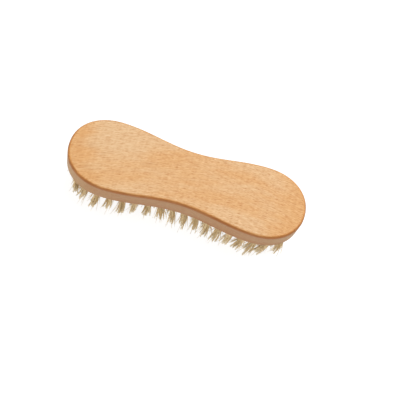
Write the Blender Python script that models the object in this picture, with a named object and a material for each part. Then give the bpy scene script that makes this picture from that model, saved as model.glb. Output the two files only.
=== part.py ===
"""Wooden scrub brush: a waisted beech block with ranks of plant-fibre tufts set in blind holes.

Metres, +Z up. The origin is on the surface that the brush stands on, under the middle of the
block. The bristle tips stand on z = 0, the length of the brush runs along X and its flat back
faces up.
"""

import math
import random

import bmesh
import bpy
import numpy as np
from mathutils import Matrix, Vector

# Block
BLOCK_LENGTH = 0.165
LOBE_WIDTH = 0.0545
WAIST_WIDTH = 0.0425
END_LENGTH = 0.031  # from the widest place of a lobe to the end of the block
BLOCK_THICKNESS = 0.0135
BACK_EDGE_RADIUS = 0.002  # the round edge between the back and the wall
UNDER_EDGE_RADIUS = 0.0008  # the eased edge between the wall and the underside
WALL_LEAN = 0.0008  # how far the wall leans in on its way down to the underside
END_ROUNDNESS = 2.15  # exponent of the end's curve: 2 is an ellipse, more is squarer

# Tuft holes
HOLE_DIAMETER = 0.005
TUFT_PITCH = 0.0085  # from one rank of tufts to the next, along the block
EDGE_MARGIN = 0.0055  # from the block's edge to the centres of the outer tufts
WOOD_OVER_HOLES = 0.004  # left between a hole's blind end and the back
FIT_CLEARANCE = 0.0003  # all round each tuft and its anchor web
RANK_TUFTS = 5
END_RANK_TUFTS = 4

# Tufts
TRIM_LENGTH = 0.0225  # bristle that shows, from the underside to the trimmed tips
TRIM_CUT = 0.0005  # what the trimming takes off the longest strands
LENGTH_SPREAD = 0.0016  # between a tuft's longest strand and its shortest, before trimming
COLLAR_LENGTH = 0.001  # stands out of the hole before the tuft parts into strands
TIP_FLARE = 0.0013  # how much further out a strand's tip stands than its root
EDGE_LEAN = 0.0011  # how far the outermost tufts lean outwards at their tips
TIP_WANDER = 0.0002  # how far chance moves a strand's tip
STRANDS = 5
FLARE_SPREAD_SHARE = 0.25  # how much chance adds to a strand's flare, or takes from it
MIDDLE_FLARE_SHARE = 0.36  # of the whole flare and lean, reached half way down
MIDDLE_WIDTH_SHARE = 0.78  # a strand's width half way down, as a share of its root's
TIP_WIDTH_SHARE = 0.42

# Anchor web: the slice of backing that joins the tufts of one rank inside the block
WEB_WIDTH = 0.0016
WEB_HEIGHT = 0.002
WEB_SETBACK = 0.0007  # from the buried ends of the tufts to the web

# How finely the shapes are faceted
END_STEPS = 12
WAIST_STEPS = 8
BACK_EDGE_STEPS = 4
UNDER_EDGE_STEPS = 2
HOLE_SIDES = 10
CUT_OVERRUN = 0.001
RANDOM_SEED = 11

BEECH = {"color": (0.791, 0.468, 0.235, 1.0), "roughness": 0.5, "metallic": 0.0}
PLANT_FIBRE = {"color": (0.485, 0.352, 0.171, 1.0), "roughness": 0.65, "metallic": 0.0}

# Heights over the underside, which is z = 0 in the object of the block and of each rank
hole_depth = BLOCK_THICKNESS - WOOD_OVER_HOLES
tuft_top = hole_depth - FIT_CLEARANCE
web_middle = tuft_top - WEB_SETBACK - WEB_HEIGHT / 2
tuft_radius = HOLE_DIAMETER / 2 - FIT_CLEARANCE
lobe_place = BLOCK_LENGTH / 2 - END_LENGTH


def clear_scene():
    for obj in list(bpy.data.objects):
        bpy.data.objects.remove(obj, do_unlink=True)


def new_collection(name):
    collection = bpy.data.collections.new(name)
    bpy.context.scene.collection.children.link(collection)
    return collection


def new_material(name, values):
    material = bpy.data.materials.new(name)
    material.use_nodes = True
    shader = material.node_tree.nodes["Principled BSDF"]
    shader.inputs["Base Color"].default_value = values["color"]
    shader.inputs["Roughness"].default_value = values["roughness"]
    shader.inputs["Metallic"].default_value = values["metallic"]
    material.diffuse_color = values["color"]
    return material


def add_object(name, bm, collection, frame, x=0.0):
    mesh = bpy.data.meshes.new(name)
    bm.to_mesh(mesh)
    bm.free()
    obj = bpy.data.objects.new(name, mesh)
    collection.objects.link(obj)
    obj.parent = frame
    obj.location.x = x
    return obj


def add_cutter(name, bm, collection, frame, x=0.0):
    obj = add_object(name, bm, collection, frame, x)
    obj.hide_render = True
    obj.display_type = "WIRE"
    return obj


def add_boolean(obj, name, operation, other):
    modifier = obj.modifiers.new(name, "BOOLEAN")
    modifier.operation = operation
    modifier.solver = "EXACT"
    modifier.object = other


# Half the outline's width at x, drawn in by a margin. From the middle to a lobe's widest place
# it follows half a cosine wave, and from there to the end a superellipse.
def half_width(x, margin=0.0):
    wide = LOBE_WIDTH / 2 - margin
    narrow = WAIST_WIDTH / 2 - margin
    if abs(x) < lobe_place:
        return narrow + (wide - narrow) * (1 - math.cos(math.pi * x / lobe_place)) / 2
    run = min((abs(x) - lobe_place) / (END_LENGTH - margin), 1.0)
    return wide * (1 - run**END_ROUNDNESS) ** (1 / END_ROUNDNESS)


# Points all round the outline, anticlockwise from its right end. A quarter is worked out and
# mirrored.
def outline_points():
    power = 2 / END_ROUNDNESS
    angles = np.linspace(0.0, math.pi / 2, END_STEPS + 1)
    end_x = lobe_place + END_LENGTH * np.cos(angles) ** power
    end_y = LOBE_WIDTH / 2 * np.sin(angles) ** power
    waist_x = np.linspace(lobe_place, 0.0, WAIST_STEPS + 1)[1:]
    waist_y = [half_width(x) for x in waist_x]
    quarter = np.column_stack([np.append(end_x, waist_x), np.append(end_y, waist_y)])
    half = np.concatenate([quarter, quarter[-2::-1] * (-1, 1)])
    return np.concatenate([half, half[-2:0:-1] * (1, -1)])


# The same outline drawn in by a distance, square to itself at each point.
def drawn_in(points, distance):
    along = np.roll(points, -1, axis=0) - np.roll(points, 1, axis=0)
    along /= np.linalg.norm(along, axis=1)[:, None]
    outward = np.column_stack([along[:, 1], -along[:, 0]])
    return points - outward * distance


def add_outline(bm, points, z):
    return bm.faces.new([bm.verts.new((x, y, z)) for x, y in points])


def round_edges(bm, face, radius, steps):
    bmesh.ops.bevel(
        bm,
        geom=face.edges[:],
        offset=radius,
        offset_type="OFFSET",
        segments=steps,
        profile=0.5,
        affect="EDGES",
    )


# The wall has the outline's full size where the round edge of the back starts, and leans in
# from there to the underside.
def block_mesh():
    points = outline_points()
    slope = WALL_LEAN / (BLOCK_THICKNESS - BACK_EDGE_RADIUS)
    bm = bmesh.new()
    underside = add_outline(bm, drawn_in(points, WALL_LEAN), 0.0)
    back = add_outline(bm, drawn_in(points, -slope * BACK_EDGE_RADIUS), BLOCK_THICKNESS)
    bmesh.ops.bridge_loops(bm, edges=bm.edges[:])
    bmesh.ops.recalc_face_normals(bm, faces=bm.faces[:])
    round_edges(bm, back, BACK_EDGE_RADIUS, BACK_EDGE_STEPS)
    round_edges(bm, underside, UNDER_EDGE_RADIUS, UNDER_EDGE_STEPS)
    return bm


# The ranks from the left end to the right, each as its place along the block and the places
# of its tufts across it.
def tuft_ranks():
    half_count = int((BLOCK_LENGTH / 2 - EDGE_MARGIN) / TUFT_PITCH + 1 / 2)
    ranks = []
    for step in range(-half_count, half_count):
        x = (step + 1 / 2) * TUFT_PITCH
        at_end = step in (-half_count, half_count - 1)
        count = END_RANK_TUFTS if at_end else RANK_TUFTS
        reach = half_width(x, EDGE_MARGIN)
        ranks.append((x, np.linspace(-reach, reach, count)))
    return ranks


# The holes are polygons round the true circle, so that their flats clear the tufts.
def hole_cutter_mesh(ranks):
    bm = bmesh.new()
    radius = HOLE_DIAMETER / 2 / math.cos(math.pi / HOLE_SIDES)
    length = hole_depth + CUT_OVERRUN
    for x, tufts in ranks:
        for y in tufts:
            bmesh.ops.create_cone(
                bm,
                cap_ends=True,
                segments=HOLE_SIDES,
                radius1=radius,
                radius2=radius,
                depth=length,
                matrix=Matrix.Translation((x, y, hole_depth - length / 2)),
            )
    return bm


# A bar across one rank, from the axis of its first tuft to the axis of its last.
def add_web(bm, x, tufts, clearance=0.0):
    size = (
        WEB_WIDTH + 2 * clearance,
        tufts[-1] - tufts[0],
        WEB_HEIGHT + 2 * clearance,
    )
    bmesh.ops.create_cube(bm, matrix=Matrix.LocRotScale((x, 0.0, web_middle), None, size))


def web_cutter_mesh(ranks):
    bm = bmesh.new()
    for x, tufts in ranks:
        add_web(bm, x, tufts, FIT_CLEARANCE)
    return bm


def web_mesh(tufts):
    bm = bmesh.new()
    add_web(bm, 0.0, tufts)
    return bm


# Moves a strand's end face so that its middle is at a place, and scales it about that middle.
def place_section(face, middle, share):
    old_middle = face.calc_center_median()
    for vert in face.verts:
        vert.co = middle + (vert.co - old_middle) * share


# A tuft is a round plug in its hole that parts into strands below its collar. Each strand
# grows from its own sector of the plug's end and stays in that sector, so no two cross.
def add_tuft(bm, y, lean, chance):
    length = tuft_top + COLLAR_LENGTH
    axis = Vector((0.0, y, -COLLAR_LENGTH))
    turn = Matrix.Rotation(chance.uniform(0.0, math.tau), 4, "Z")
    plug = bmesh.ops.create_cone(
        bm,
        cap_ends=True,
        segments=STRANDS,
        radius1=tuft_radius,
        radius2=tuft_radius,
        depth=length,
        matrix=Matrix.Translation((0.0, y, tuft_top - length / 2)) @ turn,
    )
    faces = {face for vert in plug["verts"] for face in vert.link_faces}
    mouth = min(faces, key=lambda face: face.calc_center_median().z)
    sectors = bmesh.ops.poke(bm, faces=[mouth])["faces"]
    for section in bmesh.ops.extrude_discrete_faces(bm, faces=sectors)["faces"]:
        root = section.calc_center_median()
        spread = chance.uniform(1 - FLARE_SPREAD_SHARE, 1 + FLARE_SPREAD_SHARE)
        wander = Vector((chance.uniform(-1, 1), chance.uniform(-1, 1), 0.0)) * TIP_WANDER
        shift = (root - axis).normalized() * TIP_FLARE * spread + lean + wander
        untrimmed = TRIM_LENGTH + TRIM_CUT - chance.uniform(0.0, LENGTH_SPREAD)
        tip = root + shift
        tip.z = -min(untrimmed, TRIM_LENGTH)
        middle = root + shift * MIDDLE_FLARE_SHARE
        middle.z = (root.z + tip.z) / 2
        place_section(section, middle, MIDDLE_WIDTH_SHARE)
        end = bmesh.ops.extrude_discrete_faces(bm, faces=[section])["faces"][0]
        place_section(end, tip, TIP_WIDTH_SHARE / MIDDLE_WIDTH_SHARE)


def rank_mesh(x, tufts, chance):
    bm = bmesh.new()
    for y in tufts:
        lean = Vector((x / (BLOCK_LENGTH / 2), y / (LOBE_WIDTH / 2), 0.0)) * EDGE_LEAN
        add_tuft(bm, y, lean, chance)
    return bm


def main():
    clear_scene()
    parts = new_collection("scrub_brush")
    cutters = new_collection("scrub_brush_cutters")
    beech = new_material("beech", BEECH)
    plant_fibre = new_material("plant_fibre", PLANT_FIBRE)
    frame = bpy.data.objects.new("underside_frame", None)
    frame.location.z = TRIM_LENGTH
    parts.objects.link(frame)

    ranks = tuft_ranks()
    block = add_object("block", block_mesh(), parts, frame)
    block.data.materials.append(beech)
    holes = add_cutter("hole_cutter", hole_cutter_mesh(ranks), cutters, frame)
    slots = add_cutter("web_slot_cutter", web_cutter_mesh(ranks), cutters, frame)
    add_boolean(block, "tuft_holes", "DIFFERENCE", holes)
    add_boolean(block, "web_slots", "DIFFERENCE", slots)

    chance = random.Random(RANDOM_SEED)
    for number, (x, tufts) in enumerate(ranks, start=1):
        rank = add_object(f"tuft_rank_{number:02d}", rank_mesh(x, tufts, chance), parts, frame, x)
        rank.data.materials.append(plant_fibre)
        web = add_cutter(f"anchor_web_{number:02d}", web_mesh(tufts), cutters, frame, x)
        add_boolean(rank, "anchor_web", "UNION", web)

    tuft_count = sum(len(tufts) for _, tufts in ranks)
    print(f"{tuft_count} tufts in {len(ranks)} ranks, {tuft_count * STRANDS} strands")


main()
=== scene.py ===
import math

import bpy
import numpy as np
from mathutils import Matrix, Vector


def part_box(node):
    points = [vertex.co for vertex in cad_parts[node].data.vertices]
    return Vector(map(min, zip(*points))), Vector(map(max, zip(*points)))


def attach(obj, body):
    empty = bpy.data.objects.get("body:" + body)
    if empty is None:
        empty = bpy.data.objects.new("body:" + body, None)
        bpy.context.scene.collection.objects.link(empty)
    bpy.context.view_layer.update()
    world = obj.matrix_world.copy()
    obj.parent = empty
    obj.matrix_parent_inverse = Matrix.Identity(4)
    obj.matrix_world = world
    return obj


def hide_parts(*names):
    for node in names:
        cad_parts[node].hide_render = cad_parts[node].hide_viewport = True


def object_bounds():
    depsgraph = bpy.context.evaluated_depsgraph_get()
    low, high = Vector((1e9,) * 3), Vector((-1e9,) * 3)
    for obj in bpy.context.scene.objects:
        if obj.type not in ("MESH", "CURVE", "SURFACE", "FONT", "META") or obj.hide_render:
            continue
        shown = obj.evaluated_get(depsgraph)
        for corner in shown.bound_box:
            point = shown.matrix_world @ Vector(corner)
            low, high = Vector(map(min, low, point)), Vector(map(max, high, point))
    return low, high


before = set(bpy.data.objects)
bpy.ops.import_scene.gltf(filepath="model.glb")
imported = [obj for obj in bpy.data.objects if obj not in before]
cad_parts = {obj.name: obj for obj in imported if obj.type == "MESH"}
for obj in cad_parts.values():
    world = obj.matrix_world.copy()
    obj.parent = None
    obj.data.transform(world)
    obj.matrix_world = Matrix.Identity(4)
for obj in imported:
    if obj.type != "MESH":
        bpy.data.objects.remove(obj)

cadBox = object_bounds()
blockLow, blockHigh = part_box("block")
rankNames = sorted(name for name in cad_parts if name.startswith("tuft_rank"))

millimetre = 0.001
bodyName = "root"


# Mesh and node helpers

def makeMesh(name, points, quads, caps=()):
    # points is (n, 3), quads is (m, 4) and each cap is one polygon, as a row of indices
    rows = [quads.ravel()] + [np.asarray(cap) for cap in caps]
    sizes = np.concatenate([np.full(len(quads), 4), [len(cap) for cap in caps]]).astype(np.int32)
    corners = np.concatenate(rows).astype(np.int32)
    mesh = bpy.data.meshes.new(name)
    mesh.vertices.add(len(points))
    mesh.vertices.foreach_set("co", points.astype(np.float32).ravel())
    mesh.loops.add(len(corners))
    mesh.loops.foreach_set("vertex_index", corners)
    mesh.polygons.add(len(sizes))
    mesh.polygons.foreach_set("loop_start", np.concatenate([[0], np.cumsum(sizes)[:-1]]).astype(np.int32))
    mesh.polygons.foreach_set("loop_total", sizes)
    mesh.update(calc_edges=True)
    mesh.validate()
    piece = bpy.data.objects.new(name, mesh)
    bpy.context.scene.collection.objects.link(piece)
    return piece


def setAttribute(mesh, name, values):
    layer = mesh.attributes.new(name, "FLOAT", "POINT")
    layer.data.foreach_set("value", values.astype(np.float32).ravel())


def tubeQuads(rings, sides):
    # quads between neighbouring rings of points, each ring a closed loop
    ring, side = np.meshgrid(np.arange(rings - 1), np.arange(sides), indexing="ij")
    after = (side + 1) % sides
    quads = np.stack([ring * sides + side, ring * sides + after,
                      (ring + 1) * sides + after, (ring + 1) * sides + side], axis=-1)
    return quads.reshape(-1, 4)


def repeated(faces, copies, pointsEach):
    # the same faces once for every copy of a shape, each copy's points coming after the last one's
    return (faces[None] + (np.arange(copies) * pointsEach)[:, None, None]).reshape(-1, faces.shape[1])


def newMaterial(name):
    material = bpy.data.materials.new(name)
    material.use_nodes = True
    nodes = material.node_tree.nodes
    return material, nodes, material.node_tree.links, nodes["Principled BSDF"]


def mathNode(nodes, links, operation, *values):
    node = nodes.new("ShaderNodeMath")
    node.operation = operation
    for socket, value in zip(node.inputs, values):
        if isinstance(value, (int, float)):
            socket.default_value = value
        else:
            links.new(value, socket)
    return node.outputs[0]


def mixColour(nodes, links, blendType, amount, first, second):
    node = nodes.new("ShaderNodeMix")
    node.data_type = "RGBA"
    node.blend_type = blendType
    for socket, value in zip((node.inputs[0], node.inputs[6], node.inputs[7]), (amount, first, second)):
        if isinstance(value, (int, float)):
            socket.default_value = value
        elif isinstance(value, tuple):
            socket.default_value = (*value, 1.0)
        else:
            links.new(value, socket)
    return node.outputs[2]


def softRange(nodes, links, value, low, high, toLow=0.0, toHigh=1.0):
    node = nodes.new("ShaderNodeMapRange")
    node.interpolation_type = "SMOOTHSTEP"
    links.new(value, node.inputs[0])
    for socket, number in zip(node.inputs[1:5], (low, high, toLow, toHigh)):
        socket.default_value = number
    return node.outputs[0]


# Block

blockShape = {
    "waistWidth": 42.5 * millimetre,
    "endLength": 31 * millimetre,
    "endRoundness": 2.15,
    "backEdgeRadius": 2 * millimetre,
    "underEdgeRadius": 0.8 * millimetre,
    "wallLean": 0.8 * millimetre,
    "outlinePoints": 480,
    "backEdgeSteps": 14,
    "underEdgeSteps": 6,
    "wallSteps": 6,
    "flatRim": 0.4 * millimetre,
    "sharpAngle": 40,
}
holeShape = {
    "radius": 2.5 * millimetre,
    "depth": 9.5 * millimetre,
    "mouthFlare": 0.18 * millimetre,
    "sides": 28,
    "pitch": 8.5 * millimetre,
    "edgeMargin": 5.5 * millimetre,
    "rankTufts": 5,
    "endRankTufts": 4,
}

blockMiddle = (blockLow + blockHigh) / 2
halfLength = (blockHigh.x - blockLow.x) / 2
lobeHalfWidth = (blockHigh.y - blockLow.y) / 2
undersideZ, backZ = blockLow.z, blockHigh.z
lobePlace = halfLength - blockShape["endLength"]


def halfWidth(x, margin=0.0):
    # half a cosine wave from the waist to a lobe's widest place, then a superellipse to the end
    wide = lobeHalfWidth - margin
    narrow = blockShape["waistWidth"] / 2 - margin
    power = blockShape["endRoundness"]
    run = np.clip((np.abs(x) - lobePlace) / (blockShape["endLength"] - margin), 0, 1)
    waist = narrow + (wide - narrow) * (1 - np.cos(np.pi * x / lobePlace)) / 2
    return np.where(np.abs(x) < lobePlace, waist, wide * (1 - run**power) ** (1 / power))


def blockOutline(count):
    # a quarter of the outline from the end to the waist, mirrored twice, then spaced evenly
    power = 2 / blockShape["endRoundness"]
    angle = np.linspace(0, np.pi / 2, count)
    endX = lobePlace + blockShape["endLength"] * np.cos(angle) ** power
    endY = lobeHalfWidth * np.sin(angle) ** power
    waistX = np.linspace(lobePlace, 0, count)[1:]
    quarter = np.column_stack([np.append(endX, waistX), np.append(endY, halfWidth(waistX))])
    half = np.concatenate([quarter, quarter[-2::-1] * (-1, 1)])
    loop = np.concatenate([half, half[-2::-1] * (1, -1)])
    run = np.append(0, np.cumsum(np.linalg.norm(np.diff(loop, axis=0), axis=1)))
    even = np.linspace(0, run[-1], count + 1)[:-1]
    points = np.column_stack([np.interp(even, run, loop[:, 0]), np.interp(even, run, loop[:, 1])])
    along = np.roll(points, -1, axis=0) - np.roll(points, 1, axis=0)
    along /= np.linalg.norm(along, axis=1)[:, None]
    return points, np.column_stack([along[:, 1], -along[:, 0]])


def blockProfile():
    # (drawn in, height) from the flat back over its round edge, down the wall to the underside
    radius, under = blockShape["backEdgeRadius"], blockShape["underEdgeRadius"]
    rim, lean = blockShape["flatRim"], blockShape["wallLean"]
    top = np.linspace(np.pi / 2, 0, blockShape["backEdgeSteps"] + 1)
    low = np.linspace(0, np.pi / 2, blockShape["underEdgeSteps"] + 1)
    wall = np.linspace(0, 1, blockShape["wallSteps"] + 1)[1:-1]
    topIn, topZ = radius * (1 - np.cos(top)), backZ - radius * (1 - np.sin(top))
    lowIn, lowZ = lean + under * (1 - np.cos(low)), undersideZ + under * (1 - np.sin(low))
    wallIn, wallZ = lean * wall, topZ[-1] + (lowZ[0] - topZ[-1]) * wall
    inward = np.concatenate([[radius + rim], topIn, wallIn, lowIn, [lean + under + rim]])
    height = np.concatenate([[backZ], topZ, wallZ, lowZ, [undersideZ]])
    return inward, height


def tuftPlaces():
    # one (x, places across) pair for each rank, from the left end to the right
    count = len(rankNames) // 2
    ranks = []
    for step in range(-count, count):
        x = (step + 0.5) * holeShape["pitch"]
        tufts = holeShape["endRankTufts"] if step in (-count, count - 1) else holeShape["rankTufts"]
        reach = float(halfWidth(x, holeShape["edgeMargin"]))
        ranks.append((x, np.linspace(-reach, reach, tufts)))
    return ranks


def holeCutter(ranks):
    # a turned profile round the axis of each hole: a straight bore with a flared mouth
    centres = np.array([(x, y) for x, across in ranks for y in across])
    bore, flare, depth = holeShape["radius"], holeShape["mouthFlare"], holeShape["depth"]
    radii = np.array([bore + 2 * flare, bore + 2 * flare, bore, bore])
    heights = undersideZ + np.array([-flare * 2, -flare, flare, depth])
    turn = np.linspace(0, 2 * np.pi, holeShape["sides"], endpoint=False)
    circle = np.stack([np.cos(turn), np.sin(turn)], axis=-1)
    points = np.empty((len(centres), len(radii), len(turn), 3))
    points[..., :2] = centres[:, None, None] + radii[None, :, None, None] * circle[None, None]
    points[..., 2] = heights[None, :, None]
    perHole = len(radii) * len(turn)
    quads = repeated(tubeQuads(len(radii), len(turn)), len(centres), perHole)
    ring = np.arange(len(turn))[None]
    mouths = repeated(ring[:, ::-1], len(centres), perHole)
    ends = repeated(ring + perHole - len(turn), len(centres), perHole)
    return makeMesh("holeCutter", points.reshape(-1, 3), quads, [*mouths, *ends])


def makeBlock(ranks):
    # the profile carried along the outline: each point = outline - outward * drawn in, at the profile's
    # height, and then the bores are cut out
    outline, outward = blockOutline(blockShape["outlinePoints"])
    inward, height = blockProfile()
    points = np.empty((len(inward), len(outline), 3))
    points[..., :2] = outline[None] - outward[None] * inward[:, None, None]
    points[..., 2] = height[:, None]
    points[..., :2] += np.array(blockMiddle[:2])
    sides = len(outline)
    quads = tubeQuads(len(inward), sides)[:, ::-1]
    ring = np.arange(sides)
    caps = [ring, ring[::-1] + (len(inward) - 1) * sides]
    block = makeMesh("beechBlock", points.reshape(-1, 3), quads, caps)
    cutter = holeCutter(ranks)
    bores = block.modifiers.new("bores", "BOOLEAN")
    bores.operation, bores.solver, bores.object = "DIFFERENCE", "EXACT", cutter
    graph = bpy.context.evaluated_depsgraph_get()
    bored = bpy.data.meshes.new_from_object(block.evaluated_get(graph))
    block.modifiers.clear()
    block.data = bored
    bpy.data.objects.remove(cutter)
    bored.shade_smooth()
    bored.set_sharp_from_angle(angle=math.radians(blockShape["sharpAngle"]))
    return block


ranks = tuftPlaces()
block = makeBlock(ranks)
print("block:", len(block.data.polygons), "faces")


# Wood

woodLook = {
    "light": (0.815, 0.566, 0.317),
    "warm": (0.80, 0.470, 0.198),
    "fleck": (0.76, 0.53, 0.30),
    "pale": (0.93, 0.63, 0.36),
    "amber": (0.96, 0.84, 0.66),
    "edge": (0.372, 0.123, 0.025),
    # the wall's colour, painted shade of a side that the overhead light misses
    "wall": (0.315, 0.151, 0.06),
    # painted light on the wall round the ends
    "wallEndLight": (0.67, 0.68, 0.41),
    "roughness": (0.46, 0.56),
    "gloss": 0.35,
    "grainSlope": 0.165,
    "grainCurve": -1.625,
    # noises: size along and across the grain, how far they reach, how softly they change over, and to what
    "wander": {"size": (14 * millimetre, 6 * millimetre), "reach": 1.6 * millimetre},
    "uneven": {"size": (18 * millimetre, 9 * millimetre), "reach": 0.7 * millimetre, "softness": 0.2},
    "mottle": {"size": (45 * millimetre, 11 * millimetre), "softness": 0.2, "shares": (0.25, 0.75)},
    # lines and dashes: the same size, how softly or crisply they change over, and how strongly each is
    # laid on; share is that of the places with a dash
    "streaks": {"size": (5.2 * millimetre, 0.5 * millimetre), "softness": 0.14, "strength": 0.46},
    "longLines": {"size": (50 * millimetre, 0.65 * millimetre), "softness": 0.12, "strength": 0.12},
    "fibreLines": {"size": (11 * millimetre, 0.22 * millimetre), "softness": 0.15, "strength": 0.16},
    "flecks": {"size": (4.4 * millimetre, 0.6 * millimetre),
               "share": 0.85, "crispness": 0.45, "strength": 0.70},
    "smallFlecks": {"size": (2.2 * millimetre, 0.38 * millimetre),
                    "share": 0.9, "crispness": 0.55, "strength": 0.70},
    "paleFlecks": {"size": (3.8 * millimetre, 0.7 * millimetre),
                   "share": 0.7, "crispness": 0.35, "strength": 0.46},
    "dashReach": 0.5,
    # places along or across the block between which something changes over, and its share there
    "quietPlaces": (-5 * millimetre, -35 * millimetre),
    "quietShare": 0.92,
    "endPlaces": (52 * millimetre, 84 * millimetre),
    "endWarmth": 0.7,
    "endBurn": 0.8,
    # the middle of the painted sheen on the back, how far it reaches and how strongly it is laid on
    "sheenPlace": (-57 * millimetre, 19 * millimetre, 36 * millimetre),
    "sheenReach": 40 * millimetre,
    "sheenShare": 0.5,
    "farSidePlaces": (6 * millimetre, 23 * millimetre),
    "farSideBurn": 0.3,
    "unevenBurn": 0.8,
    "lowPlaces": (-60 * millimetre, -22 * millimetre),
    "lowDarkening": (0.05, 0.32),
    "wallEndLightPlaces": (56 * millimetre, 70 * millimetre),
    "wallEndLightShare": 0.1,
    "wallShadeShare": 0.68,
    "wallLines": 0.35,
    # heights from the back, and lowHeights from the underside, between which something changes over
    "rimHeights": (-0.01 * millimetre, -0.12 * millimetre),
    "burnStarts": (-0.05 * millimetre, -0.55 * millimetre),
    "burnEnds": (-3 * millimetre, -1.5 * millimetre),
    "wallHeights": (-1.2 * millimetre, -2.2 * millimetre),
    "lowHeights": (5.5 * millimetre, 2.5 * millimetre),
    "poreHeight": -0.6,
    "bumpStrength": 0.35,
    "bumpDistance": 0.06 * millimetre,
}


def woodMaterial():
    material, nodes, links, shader = newMaterial("oiledBeech")
    place = nodes.new("ShaderNodeTexCoord").outputs["Object"]
    split = nodes.new("ShaderNodeSeparateXYZ")
    links.new(place, split.inputs[0])
    x, y, z = split.outputs

    def calc(operation, *values):
        return mathNode(nodes, links, operation, *values)

    def blend(amount, first, second, blendType="MIX"):
        return mixColour(nodes, links, blendType, amount, first, second)

    def fade(value, low, high, toLow=0.0, toHigh=1.0):
        return softRange(nodes, links, value, low, high, toLow, toHigh)

    def change(value, start, heights):
        # 0 at the first height over start and 1 at the second
        first, second = heights
        return fade(value, start + first, start + second)

    def darken(amount, colour):
        return blend(amount, colour, woodLook["fleck"], "MULTIPLY")

    # the grain runs a little askew and bends: across = y - slope * x - curve * x * x, then it wanders
    bent = calc("MULTIPLY_ADD", x, woodLook["grainCurve"], woodLook["grainSlope"])
    straight = calc("SUBTRACT", y, calc("MULTIPLY", bent, x))

    def stretched(name, across):
        # coordinates drawn out along the grain, by the pattern's size along and across it
        alongSize, acrossSize = woodLook[name]["size"]
        joined = nodes.new("ShaderNodeCombineXYZ")
        for socket, value, size in zip(joined.inputs, (x, across, z), (alongSize, acrossSize, acrossSize)):
            links.new(calc("DIVIDE", value, size), socket)
        return joined.outputs[0]

    def grainNoise(name, across, detail=2.0):
        noise = nodes.new("ShaderNodeTexNoise")
        links.new(stretched(name, across), noise.inputs["Vector"])
        noise.inputs["Scale"].default_value = 1.0
        noise.inputs["Detail"].default_value = detail
        return noise.outputs["Fac"]

    def spread(name, noise, *shares):
        # a noise with its middle values spread over the whole range
        softness = woodLook[name]["softness"]
        return fade(noise, 0.5 - softness, 0.5 + softness, *shares)

    bend = grainNoise("wander", straight, detail=1.0)
    wandering = calc("MULTIPLY_ADD", bend, woodLook["wander"]["reach"], straight)

    def grainLines(name):
        return spread(name, grainNoise(name, wandering))

    def grainDashes(name):
        # one lens-shaped dash in each cell of a drawn-out Voronoi pattern, and a share of them left out
        cells = nodes.new("ShaderNodeTexVoronoi")
        links.new(stretched(name, wandering), cells.inputs["Vector"])
        cells.inputs["Scale"].default_value = 1.0
        tint = nodes.new("ShaderNodeSeparateColor")
        links.new(cells.outputs["Color"], tint.inputs[0])
        reach = woodLook["dashReach"]
        lens = fade(cells.outputs["Distance"], reach, reach * woodLook[name]["crispness"])
        return calc("MULTIPLY", lens, fade(tint.outputs[0], 1 - woodLook[name]["share"], 1.0))

    def laidOn(name, pattern):
        # the pattern times its strength, a little quieter on the left lobe
        strength = woodLook[name]["strength"]
        quiet = woodLook["quietShare"] * strength
        return calc("MULTIPLY", pattern, fade(x, *woodLook["quietPlaces"], strength, quiet))

    # the back is palest over the far side of the left lobe, where a painted sheen lies, and warmest at both
    # ends
    fromSheen = nodes.new("ShaderNodeVectorMath")
    fromSheen.operation = "DISTANCE"
    links.new(place, fromSheen.inputs[0])
    fromSheen.inputs[1].default_value = woodLook["sheenPlace"]
    pale = fade(fromSheen.outputs["Value"], woodLook["sheenReach"], 0.0, 0.0, woodLook["sheenShare"])
    fromMiddle = calc("ABSOLUTE", x)
    warmEnd = fade(fromMiddle, *woodLook["endPlaces"], 0.0, woodLook["endWarmth"])
    mottle = spread("mottle", grainNoise("mottle", straight), *woodLook["mottle"]["shares"])
    broad = fade(calc("SUBTRACT", calc("ADD", mottle, warmEnd), pale), 0.0, 1.0)
    colour = blend(broad, woodLook["light"], woodLook["warm"])

    # the grain's lines and flecks
    longLines = grainLines("longLines")
    flecks = grainDashes("flecks")
    smallFlecks = grainDashes("smallFlecks")
    colour = darken(laidOn("streaks", grainLines("streaks")), colour)
    colour = darken(laidOn("longLines", longLines), colour)
    colour = darken(laidOn("fibreLines", grainLines("fibreLines")), colour)
    colour = blend(laidOn("paleFlecks", grainDashes("paleFlecks")), colour, woodLook["pale"])
    colour = darken(laidOn("flecks", flecks), colour)
    colour = darken(laidOn("smallFlecks", smallFlecks), colour)

    # the wall is darker and duller than the back, painted shade of a side that the overhead light misses, and
    # shows more grain lines; round the ends it is a little paler, painted light
    shadedWallColour = darken(calc("MULTIPLY", longLines, woodLook["wallLines"]), colour)
    shadedWallColour = blend(woodLook["wallShadeShare"], shadedWallColour, woodLook["wall"])
    # painted light: the wall is a little paler round the ends
    litWallEnd = fade(fromMiddle, *woodLook["wallEndLightPlaces"], 0.0, woodLook["wallEndLightShare"])
    shadedWallColour = blend(litWallEnd, shadedWallColour, woodLook["wallEndLight"])

    # level is the height from the back, made uneven
    uneven = grainNoise("uneven", straight)
    reach = woodLook["uneven"]["reach"]
    level = calc("MULTIPLY_ADD", uneven, reach, calc("SUBTRACT", z, backZ + reach / 2))
    colour = blend(change(z, backZ, woodLook["rimHeights"]), colour, woodLook["amber"], "MULTIPLY")
    colour = blend(change(level, 0.0, woodLook["wallHeights"]), colour, shadedWallColour)

    # the round edge is burnished dark, less so at the ends and along the far side
    burnStart = change(level, 0.0, woodLook["burnStarts"])
    burn = calc("MULTIPLY", burnStart, change(level, 0.0, woodLook["burnEnds"]))
    burn = calc("MULTIPLY", burn, spread("uneven", uneven, 1.0, woodLook["unevenBurn"]))
    burn = calc("MULTIPLY", burn, fade(y, *woodLook["farSidePlaces"], 1.0, woodLook["farSideBurn"]))
    burn = calc("MULTIPLY", burn, fade(fromMiddle, *woodLook["endPlaces"], 1.0, woodLook["endBurn"]))
    colour = blend(burn, colour, woodLook["edge"])
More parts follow.
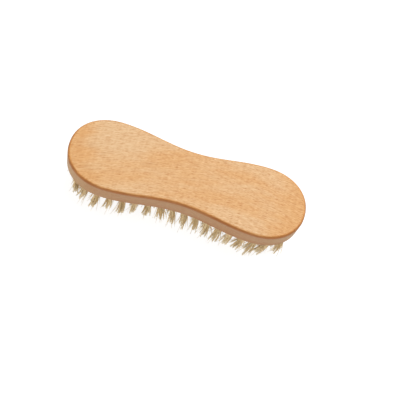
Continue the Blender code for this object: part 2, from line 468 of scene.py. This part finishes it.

    # the wall's lower edge is darker and warmer, more so from the waist on than at the left end
    low = change(z, undersideZ, woodLook["lowHeights"])
    low = calc("MULTIPLY", low, fade(x, *woodLook["lowPlaces"], *woodLook["lowDarkening"]))
    colour = blend(low, colour, woodLook["edge"])
    links.new(colour, shader.inputs["Base Color"])
    links.new(fade(broad, 0.0, 1.0, *woodLook["roughness"]), shader.inputs["Roughness"])
    shader.inputs["Specular IOR Level"].default_value = woodLook["gloss"]

    # the flecks are shallow pores
    height = calc("MULTIPLY", calc("ADD", flecks, smallFlecks), woodLook["poreHeight"])
    bump = nodes.new("ShaderNodeBump")
    bump.inputs["Strength"].default_value = woodLook["bumpStrength"]
    bump.inputs["Distance"].default_value = woodLook["bumpDistance"]
    links.new(height, bump.inputs["Height"])
    links.new(bump.outputs[0], shader.inputs["Normal"])
    return material


block.data.materials.append(woodMaterial())
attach(block, bodyName)
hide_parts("block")
print("wood done")


# Tufts

fibreShape = {
    "perTuft": 124,
    "rootRadius": 2 * millimetre,
    "rootDepth": 5 * millimetre,
    "thickness": 0.28 * millimetre,
    "tipThickness": 0.2 * millimetre,
    "strayThickness": 0.46 * millimetre,
    "thicknessShares": (0.75, 1.2),
    "taper": 1.5,  # above 1 a fibre stays thick further down
    "rings": 6,
    "sides": 4,
    "sideLocks": 5,
    "toneStrands": 8,
    "strandTone": 0.85,
    "mainWander": 1.1 * millimetre,
    "mainClump": 0.74,
    "mainLength": (0.98, 1.0),
    "pointed": 0.10,
    "ragged": 0.10,
    "sideReach": 3.2 * millimetre,
    "sideReachShares": (0.55, 1.1),
    "sideTurn": 0.35,
    "sideClump": 0.85,
    "sideLength": (0.78, 1.0),
    "sideFrom": 0.45,
    "sideShare": 0.65,
    "flare": 1.55,
    "edgeLean": 1.3 * millimetre,
    "fanPower": 1.25,  # above 1 a fibre stays upright further down
    "wander": 0.25 * millimetre,
    "ownBow": 0.625,  # how far a fibre's middle wanders, as a share of wander
    "strayShare": 0.09,
    "strayReach": 6.6 * millimetre,
    "strayReachShares": (0.45, 1.0),
    "strayTurn": 0.5,
    "strayLength": (0.62, 1.0),
    "boxMargin": 0.2 * millimetre,
    "bow": 0.7 * millimetre,
    "seed": 4,  # of 200 tried, the one whose front row came closest to the photograph's
    # From the left end, how far along and across the block the tip of each rank's front tuft stands
    # from its hole, in millimetres. Along was read off the photograph, to about half a millimetre,
    # for the thirteen tufts that show there. Across is a rougher reading for the first nine, and left
    # at 0 for the fourteenth to seventeenth. The first tuft's two were then changed while renders were
    # compared. The other five tufts don't show, and theirs are guesses.
    "frontLeans": (
        (2, -2), (-2, 0), (-1.5, -1), (0, 1), (0.5, -1), (0, 1.5), (1.5, 0.5), (3, 0), (2, -1),
        (1.5, -1), (1, -0.5), (0, -1), (-1, -1), (-2, 0), (-3, 0), (-3, 0), (-4, 0), (-1, -1),
    ),
}
trimLength = undersideZ - cadBox[0].z


def fibrePaths(centres, leans, bows, chance):
    # Each fibre stands in its hole and runs to its tip along a curve. Most fibres of a tuft draw
    # together to one point under its middle, the outer ones of them a little shorter. Some outer
    # fibres draw to a few side points instead, and some stray.
    # A lean moves the whole tuft's tip to one side, and a bow its middle. The front tuft is the first
    # of its rank, and its main point stands just where its lean puts it.
    count, locks = fibreShape["perTuft"], fibreShape["sideLocks"]
    tufts = len(centres)
    shape = (tufts, count)

    def towards(angles, lengths):
        return np.stack([np.cos(angles), np.sin(angles)], axis=-1) * lengths[..., None]

    share = np.sqrt(chance.random(shape))
    angle = chance.random(shape) * 2 * np.pi
    root = towards(angle, fibreShape["rootRadius"] * share)
    fanned = root * fibreShape["flare"]

    # the main point of each tuft, and its side points
    mainTip = chance.normal(0, fibreShape["mainWander"], (tufts, 1, 2))
    mainTip[0] = 0
    mainLength = chance.uniform(*fibreShape["mainLength"], (tufts, 1))
    sideTurn = chance.uniform(-fibreShape["sideTurn"], fibreShape["sideTurn"], (tufts, locks))
    lockAngle = (np.arange(locks) + sideTurn) * 2 * np.pi / locks
    lockAngle += chance.uniform(0, 2 * np.pi, (tufts, 1))
    lockReach = fibreShape["sideReach"] * chance.uniform(*fibreShape["sideReachShares"], (tufts, locks))
    lockTip = towards(lockAngle, lockReach)
    lockLength = chance.uniform(*fibreShape["sideLength"], (tufts, locks))
    apart = np.cos(angle[:, :, None] - lockAngle[:, None, :])
    nearest = apart.argmax(axis=2)
    sideTip = np.take_along_axis(lockTip, nearest[..., None], axis=1)
    sideLength = np.take_along_axis(lockLength, nearest, axis=1)

    # each fibre's tip and length
    inSide = (share > fibreShape["sideFrom"]) & (chance.random(shape) < fibreShape["sideShare"])
    stray = chance.random(shape) < fibreShape["strayShare"]
    tip = fanned + (mainTip - fanned) * fibreShape["mainClump"]
    tip = np.where(inSide[..., None], fanned + (sideTip - fanned) * fibreShape["sideClump"], tip)
    tip += chance.normal(0, fibreShape["wander"], tip.shape)
    strayReach = fibreShape["strayReach"] * chance.uniform(*fibreShape["strayReachShares"], shape)
    strayTip = towards(angle + chance.normal(0, fibreShape["strayTurn"], shape), strayReach)
    tip = np.where(stray[..., None], strayTip, tip)
    length = np.where(inSide, sideLength, mainLength) * (1 - fibreShape["ragged"] * chance.random(shape) ** 2)
    length = np.where(inSide, length, length * (1 - fibreShape["pointed"] * share**2))
    length = np.where(stray, chance.uniform(*fibreShape["strayLength"], shape), length) * trimLength

    # along runs from 0 at the buried root to 1 at the tip, and the fan opens below the mouth
    along = np.linspace(0, 1, fibreShape["rings"])
    mouth = fibreShape["rootDepth"] / (fibreShape["rootDepth"] + length)
    below = np.clip((along - mouth[..., None]) / (1 - mouth[..., None]), 0, 1)
    opened = below[..., None] ** fibreShape["fanPower"]
    middle = 4 * (below * (1 - below))[..., None]
    ownBow = chance.normal(0, fibreShape["wander"], (*shape, 1, 2)) * (fibreShape["ownBow"] * middle)
    flat = root[:, :, None] + (tip - root)[:, :, None] * opened + ownBow
    flat += centres[:, None, None] + leans[:, None, None] * opened + bows[:, None, None] * middle
    room = np.array((halfLength, lobeHalfWidth)) - fibreShape["boxMargin"]
    flat = np.clip(flat, -room, room)
    height = undersideZ + fibreShape["rootDepth"] - along * (fibreShape["rootDepth"] + length)[..., None]
    return np.concatenate([flat, height[..., None]], axis=-1), below, stray, angle


def makeRank(name, centres, leans, bows, chance):
    # a four-sided tapering tube along each path: each point = path + radius * (cos turn, sin turn, 0)
    path, below, stray, angle = fibrePaths(centres, leans, bows, chance)
    tufts, count, rings = path.shape[:3]
    sides = fibreShape["sides"]
    thick = np.where(stray[..., None], fibreShape["strayThickness"], fibreShape["thickness"])
    thick = thick * chance.uniform(*fibreShape["thicknessShares"], (tufts, count, 1))
    radius = (thick + (fibreShape["tipThickness"] - thick) * below ** fibreShape["taper"]) / 2
    turn = chance.random((tufts, count, 1, 1)) * 2 * np.pi + np.arange(sides) * 2 * np.pi / sides
    around = np.stack([np.cos(turn), np.sin(turn), np.zeros_like(turn)], axis=-1)
    points = path[:, :, :, None] + around * radius[..., None, None]
    perFibre = rings * sides
    ring = np.arange(sides)
    quads = repeated(tubeQuads(rings, sides)[:, ::-1], tufts * count, perFibre)
    ends = repeated(np.stack([ring, ring[::-1] + perFibre - sides]), tufts * count, perFibre)
    piece = makeMesh(name, points.reshape(-1, 3), np.concatenate([quads, ends]))
    # a fibre's tone is partly its own and partly that of the strand it lies in, a sector of its tuft
    tone = chance.random((tufts, count))
    strand = np.floor(angle / (2 * np.pi) * fibreShape["toneStrands"]).astype(int)
    strandTone = np.take_along_axis(chance.random((tufts, fibreShape["toneStrands"])), strand, axis=1)
    tone += (strandTone - tone) * fibreShape["strandTone"]
    tone = np.broadcast_to(tone[..., None, None], (tufts, count, rings, sides))
    down = np.broadcast_to(below[..., None], (tufts, count, rings, sides))
    setAttribute(piece.data, "tone", tone)
    setAttribute(piece.data, "down", down)
    piece.data.shade_smooth()
    return piece


fibreLook = {
    "root": (0.656, 0.50, 0.288),
    "body": (0.98, 0.78, 0.465),
    "tip": (0.99, 0.89, 0.70),
    "darkTone": (0.70, 0.605, 0.43),
    "rootFade": (0.0, 0.3),
    "tipFade": (0.6, 1.0),
    "toneFade": (0.9, 0.1),
    "roughness": 0.5,
    "gloss": 0.35,
}


def fibreMaterial():
    material, nodes, links, shader = newMaterial("plantFibre")

    def attribute(name):
        node = nodes.new("ShaderNodeAttribute")
        node.attribute_name = name
        return node.outputs["Fac"]

    down = attribute("down")
    fromRoot = softRange(nodes, links, down, *fibreLook["rootFade"])
    toTip = softRange(nodes, links, down, *fibreLook["tipFade"])
    colour = mixColour(nodes, links, "MIX", fromRoot, fibreLook["root"], fibreLook["body"])
    colour = mixColour(nodes, links, "MIX", toTip, colour, fibreLook["tip"])
    darkness = softRange(nodes, links, attribute("tone"), *fibreLook["toneFade"])
    colour = mixColour(nodes, links, "MULTIPLY", darkness, colour, fibreLook["darkTone"])
    links.new(colour, shader.inputs["Base Color"])
    shader.inputs["Roughness"].default_value = fibreLook["roughness"]
    shader.inputs["Specular IOR Level"].default_value = fibreLook["gloss"]
    return material


def makeTufts(ranks):
    # outer tufts lean outwards a little, and the front one of each rank is combed its own way
    material = fibreMaterial()
    for number, ((x, across), node) in enumerate(zip(ranks, rankNames)):
        chance = np.random.default_rng((fibreShape["seed"], number))
        centres = np.column_stack([np.full(len(across), x), across])
        leans = centres / (halfLength, lobeHalfWidth) * fibreShape["edgeLean"]
        bows = np.zeros_like(centres)
        leans[0] = np.array(fibreShape["frontLeans"][number]) * millimetre
        bows[0, 0] = fibreShape["bow"]
        rank = makeRank(f"tuftRank{number + 1:02d}", centres, leans, bows, chance)
        rank.data.materials.append(material)
        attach(rank, bodyName)
        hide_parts(node)


makeTufts(ranks)
print("tufts done")


# Camera, floor and light

cameraView = {
    "azimuth": -6.304,
    "elevation": 59.495,
    "roll": 22.533,
    "distance": 0.85709,
    "aim": (0.018913, -0.010027, 0.0225),
    "focalPixels": 1272.42,
    "framePixels": 416,
    "sensorWidth": 36.0,
}


def makeCamera():
    # the camera looks down at the aim point, then it is rolled about its line of sight
    azimuth, elevation, roll = (math.radians(cameraView[name]) for name in ("azimuth", "elevation", "roll"))
    forward = Vector((-math.sin(azimuth) * math.cos(elevation), math.cos(azimuth) * math.cos(elevation),
                      -math.sin(elevation)))
    sideways = Vector((math.cos(azimuth), math.sin(azimuth), 0))
    upward = sideways.cross(forward)
    right = sideways * math.cos(roll) + upward * math.sin(roll)
    up = upward * math.cos(roll) - sideways * math.sin(roll)
    data = bpy.data.cameras.new("camera")
    data.sensor_width = cameraView["sensorWidth"]
    data.lens = cameraView["focalPixels"] * cameraView["sensorWidth"] / cameraView["framePixels"]
    camera = bpy.data.objects.new("camera", data)
    bpy.context.scene.collection.objects.link(camera)
    camera.location = Vector(cameraView["aim"]) - forward * cameraView["distance"]
    camera.rotation_euler = Matrix((right, up, -forward)).transposed().to_euler()
    bpy.context.scene.camera = camera


makeCamera()

stage = {
    "floorSize": 6.0,
    "floorColour": (0.30, 0.30, 0.30),
    "floorGlow": 0.88,
    "floorRoughness": 0.9,
    "skyStrength": 0.33,
    "horizonStrength": 1.0,
    "horizonFades": (0.07, 0.2),
    "lightSize": 1.2,
    "lightHeight": 1.25,
    "lightPower": 16.0,
    "lightPlace": (0.25, 0.40),
    "fillSize": 1.0,
    "fillPower": 2.5,
    "fillPlace": (-0.9, -0.9, 0.45),
}


def makeFloor():
    half = stage["floorSize"] / 2
    corners = np.array([(-half, -half, 0.0), (half, -half, 0.0), (half, half, 0.0), (-half, half, 0.0)])
    floor = makeMesh("floor", corners + (0, 0, cadBox[0].z), np.array([[0, 1, 2, 3]]))
    material, _, _, shader = newMaterial("paleFloor")
    shader.inputs["Base Color"].default_value = (*stage["floorColour"], 1.0)
    shader.inputs["Roughness"].default_value = stage["floorRoughness"]
    shader.inputs["Specular IOR Level"].default_value = 0.0
    shader.inputs["Emission Color"].default_value = (1.0, 1.0, 1.0, 1.0)
    shader.inputs["Emission Strength"].default_value = stage["floorGlow"]
    floor.data.materials.append(material)


def makeLight(name, place, size, power):
    # a square softbox that faces the middle of the floor
    data = bpy.data.lights.new(name, "AREA")
    data.size = size
    data.energy = power
    light = bpy.data.objects.new(name, data)
    bpy.context.scene.collection.objects.link(light)
    light.location = place
    light.rotation_euler = (-Vector(place)).to_track_quat("-Z", "Y").to_euler()


def makeWorld():
    # white all round, dimmer overhead than at the horizon, so that a low view has a pale background too
    world = bpy.data.worlds.new("studio")
    world.use_nodes = True
    nodes, links = world.node_tree.nodes, world.node_tree.links
    split = nodes.new("ShaderNodeSeparateXYZ")
    links.new(nodes.new("ShaderNodeTexCoord").outputs["Generated"], split.inputs[0])
    horizon, overhead = stage["horizonStrength"], stage["skyStrength"]
    strength = softRange(nodes, links, split.outputs[2], *stage["horizonFades"], horizon, overhead)
    background = nodes["Background"]
    background.inputs["Color"].default_value = (1.0, 1.0, 1.0, 1.0)
    links.new(strength, background.inputs["Strength"])
    bpy.context.scene.world = world


makeFloor()
makeWorld()
makeLight("overhead", (*stage["lightPlace"], stage["lightHeight"]), stage["lightSize"], stage["lightPower"])
makeLight("fill", stage["fillPlace"], stage["fillSize"], stage["fillPower"])
bpy.context.scene.view_settings.view_transform = "Standard"
print("stage done")
